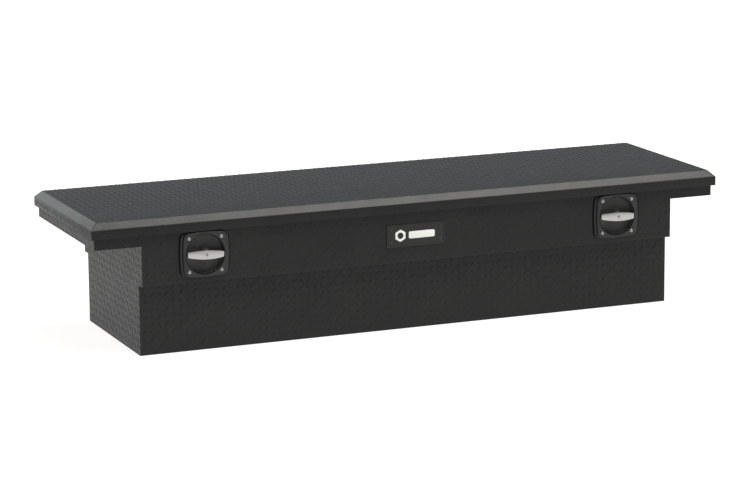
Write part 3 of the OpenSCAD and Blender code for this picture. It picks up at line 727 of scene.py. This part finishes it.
def atHandle(sign):  # moves a piece made round the middle to a handle
    return Matrix.Translation((sign * tubSizes["handleX"], 0, tubSizes["handleZ"]))


def awayFromHandle(spot, sign):  # how far a spot lies from a handle's axis
    return Vector((spot.x - sign * tubSizes["handleX"], spot.z - tubSizes["handleZ"])).length


housing = handleHousing()
for side, sign in sides.items():
    twin = copyOf(housing, f"handleHousing{side.title()}", atHandle(sign))
    place(twin, "tub", "satin_black", "cast", f"handle_housing_{side}")
    for finish in ("inner", "rubberAndPaintedShade", "coatAndPaintedShade"):
        twin.data.materials.append(finishes[finish].material)
    for face in twin.data.polygons:
        deep = face.center.y - panelY + housingSizes["rise"]
        face.material_index = housingShade(awayFromHandle(face.center, sign), deep)
    smoothen(twin)
bpy.data.objects.remove(housing)

gasketSizes = {"half": (0.0690, 0.0590), "corner": 0.0172, "thick": 0.0012, "hole": 0.056}
gasketLine = softOutline(*gasketSizes["half"], housingSizes["bulge"], housingSizes["bulge"],
                         gasketSizes["corner"])
gasket = addOutline("gasket", gasketLine, panelY - gasketSizes["thick"] / 2, gasketSizes["thick"])
hole = addRod("hole", gasketSizes["hole"], (0, panelY - past, 0), (0, panelY + past, 0))
combine(gasket, hole, "DIFFERENCE")
for side, sign in sides.items():
    twin = copyOf(gasket, f"housingGasket{side.title()}", atHandle(sign))
    smoothen(twin, 40)
    place(twin, "tub", "seal_rubber", "rubberAndPaintedShade", f"housing_gasket_{side}")
bpy.data.objects.remove(gasket)
print("housings done")

# twist bars with their hubs
barSizes = {"length": 0.097, "middle": 0.023, "bulge": 0.0045, "endBulge": 0.0003, "corner": 0.0026,
            "rise": 0.021, "thick": 0.008, "sag": 0.006, "edge": 0.0024, "plug": 0.0046, "tilt": 2.5,
            "blank": 0.018, "reach": 0.03,  # the bar's depth before it is cut, and half the cutters' height
            "edgeTilt": (0.3, 0.2),  # a face turned further than this sideways or upwards is an edge
            "hub": 0.0145, "hubSoft": 0.0012, "hubGap": 0.0005, "hubBore": 0.014}


def twistBar():
    size = barSizes
    frontY = panelY - size["rise"]
    arcR = (size["length"] / 2) ** 2 / (2 * size["sag"])
    low, high = (0, frontY + arcR, -size["reach"]), (0, frontY + arcR, size["reach"])
    barLine = softOutline(size["length"] / 2, size["middle"] / 2, size["endBulge"], size["bulge"],
                          size["corner"])
    bar = addOutline("twistBar", barLine, frontY + size["blank"] / 2 - overlap, size["blank"])
    combine(bar, addRod("outer", arcR, low, high, around=360), "INTERSECT")
    combine(bar, addRod("inner", arcR - size["thick"], low, high, around=360), "DIFFERENCE")
    soften(bar, size["edge"], segments=3, angle=45)
    bore = addRod("bore", size["plug"], (0, frontY - past, 0), (0, frontY + 3 * past, 0), around=48)
    combine(bar, bore, "DIFFERENCE")
    return bar


def barHub():
    size = barSizes
    frontY = panelY - size["rise"]
    floorY = panelY - housingSizes["rise"] + housingSizes["dishDeep"]
    hub = addRod("hub", size["hub"], (0, frontY + size["thick"] - overlap, 0),
                 (0, floorY - size["hubGap"], 0))
    soften(hub, size["hubSoft"], segments=3, angle=50)
    bore = addRod("bore", size["plug"], (0, frontY, 0), (0, frontY + size["hubBore"], 0), around=48)
    combine(hub, bore, "DIFFERENCE")
    return hub


plugSizes = {"proud": 0.0004, "deep": 0.0135, "soft": 0.0003, "slot": 0.0030, "slotWide": 0.0011,
             "slotDeep": 0.004}


def lockPlug():
    frontY = panelY - barSizes["rise"]
    plug = addRod("plug", barSizes["plug"] - play / 2, (0, frontY - plugSizes["proud"], 0),
                  (0, frontY + plugSizes["deep"], 0), around=48)
    soften(plug, plugSizes["soft"], segments=2, angle=50)
    slot = addBox("slot", (-plugSizes["slotWide"], frontY - overlap, -plugSizes["slot"]),
                  (plugSizes["slotWide"], frontY + plugSizes["slotDeep"], plugSizes["slot"]))
    combine(plug, slot, "DIFFERENCE")
    return plug


bar, hub, plug = twistBar(), barHub(), lockPlug()
for side, sign in sides.items():
    at = atHandle(sign) @ Matrix.Rotation(math.radians(barSizes["tilt"]), 4, "Y")
    twin = copyOf(bar, f"twistBar{side.title()}", at)
    smoothen(twin, 30)
    place(twin, f"handle_{side}", "polished_bar", "bar", f"twist_bar_{side}")
    twin.data.materials.append(finishes["barEdgePaintedHighlight"].material)
    sideways, upwards = barSizes["edgeTilt"]
    for face in twin.data.polygons:  # the rounded edges take a brighter, glossier copy of the bar metal: a painted highlight
        face.material_index = int(abs(face.normal.x) > sideways or abs(face.normal.z) > upwards)
    twin = copyOf(hub, f"barHub{side.title()}", at)
    smoothen(twin)
    place(twin, f"handle_{side}", "satin_black", "cast")
    twin = copyOf(plug, f"lockPlug{side.title()}", at)
    smoothen(twin, 40)
    place(twin, f"key_{side}", "satin_black", "plug", f"lock_plug_{side}")
    twin.data.materials.append(finishes["rubberAndPaintedShade"].material)
    for face in twin.data.polygons:  # the walls of the keyhole take black rubber: painted shade in the slot
        inSlot = awayFromHandle(face.center, sign) < plugSizes["slot"]
        face.material_index = int(inSlot and face.center.y > panelY - barSizes["rise"])
for part in (bar, hub, plug):
    bpy.data.objects.remove(part)
print("twist bars done")

# rivets of the housings and the badge
rivetSizes = {"at": 0.0435, "head": 0.0045, "rise": 0.0019, "innerHead": 0.0046, "innerRise": 0.0025,
              "sunk": 0.0004, "round": 0.62,  # how much of the rise is rounded
              "dimple": 0.0019, "dimpleDeep": 0.0015, "dimpleTaper": 0.6}


def rivetHead(radius, rise, dimple, y, inward=1):  # inward is 1 on a front, -1 on a face that looks back
    size = rivetSizes
    tipY, rounding = y - rise * inward, rise * size["round"]
    head = addRod("rivetHead", radius, (0, y + size["sunk"] * inward, 0), (0, tipY, 0), around=24)
    pick(head, "EDGE", lambda at, along: abs(at.y - tipY) < same)
    bpy.ops.mesh.bevel(offset=rounding, segments=3, affect="EDGES")
    if dimple:
        pick(head, "FACE", lambda at, normal: normal.y * -inward > squarely and abs(at.y - tipY) < same)
        bpy.ops.mesh.inset(thickness=radius - rounding - dimple)
        extrude((0, size["dimpleDeep"] * inward, 0))
        widen((size["dimpleTaper"], 1, size["dimpleTaper"]), (0, y, 0))
    bpy.ops.object.mode_set(mode="OBJECT")
    return head


head = rivetHead(rivetSizes["head"], rivetSizes["rise"], rivetSizes["dimple"], panelY - housingSizes["rise"])
blind = rivetHead(rivetSizes["innerHead"], rivetSizes["innerRise"], 0, panelY + tubSizes["sheet"], -1)
corners = [(sx, sz) for sx in (-1, 1) for sz in (-1, 1)]
heads = []
for sign in sides.values():
    for sx, sz in corners:
        at = atHandle(sign) @ Matrix.Translation((sx * rivetSizes["at"], 0, sz * rivetSizes["at"]))
        heads += [copyOf(head, "rivet", at), copyOf(blind, "rivet", at)]
for part in (head, blind):
    bpy.data.objects.remove(part)
housingRivets = joinAll("housingRivets", heads)
smoothen(housingRivets, 40)
place(housingRivets, "tub", "stainless", "stainless", "housing_rivets")

badgeSizes = {"corner": 0.004, "bulge": (0.00005, 0.0002), "border": 0.0022, "recess": 0.0006, "soft": 0.0005,
              "rivet": 0.0028, "rivetRise": 0.0012, "rivetIn": (0.012, 0.0145)}
badgeHalf = (badgeHigh - badgeLow) / 2
badgeMid = (badgeHigh + badgeLow) / 2
badgeLine = softOutline(badgeHalf.x, badgeHalf.z, *badgeSizes["bulge"], badgeSizes["corner"])
badgePlate = addOutline("badgePlate", badgeLine, badgeMid.y, 2 * badgeHalf.y)
soften(badgePlate, badgeSizes["soft"], segments=2, angle=50)
pick(badgePlate, "FACE", lambda at, normal: normal.y < -squarely)
bpy.ops.mesh.inset(thickness=badgeSizes["border"])
extrude((0, badgeSizes["recess"], 0))
bpy.ops.object.mode_set(mode="OBJECT")
badgePlate.data.transform(Matrix.Translation((badgeMid.x, 0, badgeMid.z)))
smoothen(badgePlate)
place(badgePlate, "tub", "badge_grey", "badge", "badge_plate")

recessY = badgeLow.y + badgeSizes["recess"]
small = rivetHead(badgeSizes["rivet"], badgeSizes["rivetRise"], 0, recessY)
rivetX, rivetZ = badgeHalf.x - badgeSizes["rivetIn"][0], badgeHalf.z - badgeSizes["rivetIn"][1]
badgeRivets = joinAll("badgeRivets", [
    copyOf(small, "rivet", Matrix.Translation((badgeMid.x + sx * rivetX, 0, badgeMid.z + sz * rivetZ)))
    for sx, sz in corners])
bpy.data.objects.remove(small)
smoothen(badgeRivets, 40)
place(badgeRivets, "tub", "satin_black", "inner", "badge_rivets")
print("rivets and badge done")

# a plain mark on the badge: a hexagon nut and a rounded bar
markSizes = {"nutAt": -0.044, "nut": 0.0165, "hole": 0.0085, "rise": 0.0007, "sunk": 0.0002, "soft": 0.0002,
             "barAt": 0.017, "barHalf": (0.037, 0.0095), "barBulge": 0.0001, "barCorner": 0.004}
nutX, thick = markSizes["nutAt"], markSizes["rise"] + markSizes["sunk"]
nut = addRod("nut", markSizes["nut"], (nutX, recessY + markSizes["sunk"], 0),
             (nutX, recessY - markSizes["rise"], 0), around=6)
hole = addRod("hole", markSizes["hole"], (nutX, recessY + past, 0), (nutX, recessY - past, 0), around=40)
combine(nut, hole, "DIFFERENCE")
stripeLine = softOutline(*markSizes["barHalf"], markSizes["barBulge"], markSizes["barBulge"],
                         markSizes["barCorner"])
stripe = addOutline("stripe", stripeLine, recessY + markSizes["sunk"] - thick / 2, thick)
stripe.data.transform(Matrix.Translation((markSizes["barAt"], 0, 0)))
badgeMark = joinAll("badgeMark", [nut, stripe])
soften(badgeMark, markSizes["soft"], segments=2, angle=50)
badgeMark.data.transform(Matrix.Translation((badgeMid.x, 0, badgeMid.z)))
smoothen(badgeMark)
place(badgeMark, "tub", "badge_grey", "enamel")

# seal on the rim
sealSizes = {"bulb": 0.0039, "corner": 0.030, "bulge": 0.0001, "inset": 0.006, "footHalf": 0.0055,
             "footThick": 0.0016, "innerCorner": 0.019}
sealLow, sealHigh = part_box("rim_seal")


def sealLine(wider, corner):  # the seal's loop, wider or narrower than its middle line
    half = [(sealHigh[k] - sealLow[k]) / 2 - sealSizes["inset"] + wider for k in (0, 1)]
    return softOutline(*half, sealSizes["bulge"], sealSizes["bulge"], corner)


bulb = addOutline("bulb", sealLine(0, sealSizes["corner"]), depth=sealSizes["bulb"])
bulb.data.transform(Matrix.Translation((0, 0, sealLow.z + sealSizes["bulb"])))
footLine = sealLine(sealSizes["footHalf"], sealSizes["corner"])
foot = addOutline("foot", footLine, thickness=sealSizes["footThick"])
holeLine = sealLine(-sealSizes["footHalf"], sealSizes["innerCorner"])
footHole = addOutline("footHole", holeLine, thickness=past)
combine(foot, footHole, "DIFFERENCE")
layFlat = Matrix.Rotation(-math.pi / 2, 4, "X")
foot.data.transform(Matrix.Translation((0, 0, sealLow.z + sealSizes["footThick"] / 2)) @ layFlat)
rimSeal = joinAll("rimSeal", [bulb, foot])
smoothen(rimSeal, 40)
place(rimSeal, "tub", "seal_rubber", "rubberAndPaintedShade", "rim_seal")
print("seal done")

# floor and light
deselectAll()
floorSizes = {"across": 60, "glow": 0.91}
bpy.ops.mesh.primitive_plane_add(size=floorSizes["across"], location=(0, 0, cadBox[0].z))
floor = bpy.context.active_object
floor.name = "floor"
paper = Finish("palePaper", **{"Roughness": 0.9, "Specular IOR Level": 0.1,
                               "Emission Strength": floorSizes["glow"]})
tone = paper.grain(3, 3)
paper.give(paper.shader, {"Base Color": paper.mix(tone, (0.155, 0.155, 0.153), (0.170, 0.170, 0.168)),
                          "Emission Color": (1, 0.99, 0.97, 1)})
floor.data.materials.append(paper.material)

world = bpy.data.worlds.new("studio")
bpy.context.scene.world = world
world.use_nodes = True
sky = world.node_tree


def skyNode(kind, settings, *inputs):
    made = sky.nodes.new(kind)
    for key, value in settings.items():
        setattr(made, key, value)
    for socket, value in zip(made.inputs, inputs):
        if isinstance(value, bpy.types.NodeSocket):
            sky.links.new(value, socket)
        else:
            socket.default_value = value
    return made


# soft boxes: the middle of each, how far it reaches and fades as cosines, its brightness and its tint
overhead = (0.378, -0.21, 0.905)
softBoxes = {"overhead": (overhead, 0.885, 0.975, 12.2, (1.01, 1.0, 0.965, 1)),
             "back": ((0.2, 0.97, 0.15), 0.35, 0.98, 0.27, (0.90, 0.985, 1.07, 1)),
             "leftBack": ((-0.8, 0.6, 0.1), 0.4, 0.98, 1.1, (0.95, 1.01, 1.01, 1)),
             "backHigh": ((-0.25, 0.87, 0.43), 0.91, 0.985, 1.9, (0.98, 1.0, 0.98, 1)),
             "upper": ((0, 0, 1), 0.1, 1.0, 0.16, (0.96, 0.99, 1.02, 1))}
ambient, ambientTint = 0.11, (0.96, 0.99, 1.02, 1)
towards = skyNode("ShaderNodeTexCoord", {}).outputs["Generated"]
surround = skyNode("ShaderNodeBackground", {}, ambientTint, ambient)
for middle, far, near, strength, tint in softBoxes.values():
    facing = skyNode("ShaderNodeVectorMath", {"operation": "DOT_PRODUCT"},
                     towards, Vector(middle).normalized())
    patch = skyNode("ShaderNodeMapRange", {"interpolation_type": "SMOOTHSTEP"},
                    facing.outputs["Value"], far, near, 0, strength)
    lit = skyNode("ShaderNodeBackground", {}, tint, patch.outputs[0])
    surround = skyNode("ShaderNodeAddShader", {}, surround.outputs[0], lit.outputs[0])
seen = skyNode("ShaderNodeBackground", {}, (1, 1, 1, 1), 1)  # the plain white behind the box
path = skyNode("ShaderNodeLightPath", {})
either = skyNode("ShaderNodeMixShader", {},
                 path.outputs["Is Camera Ray"], surround.outputs[0], seen.outputs[0])
sky.links.new(either.outputs[0], sky.nodes["World Output"].inputs["Surface"])
bpy.context.scene.view_settings.view_transform = "Standard"

lampSizes = {"energy": 0.25, "angle": 60}
bpy.ops.object.light_add(type="SUN", location=(1, -1, 5))
lamp = bpy.context.active_object
lamp.name = "overheadFill"
lamp.data.energy = lampSizes["energy"]
lamp.data.angle = math.radians(lampSizes["angle"])
lamp.rotation_euler = Vector(overhead).to_track_quat("Z", "Y").to_euler()
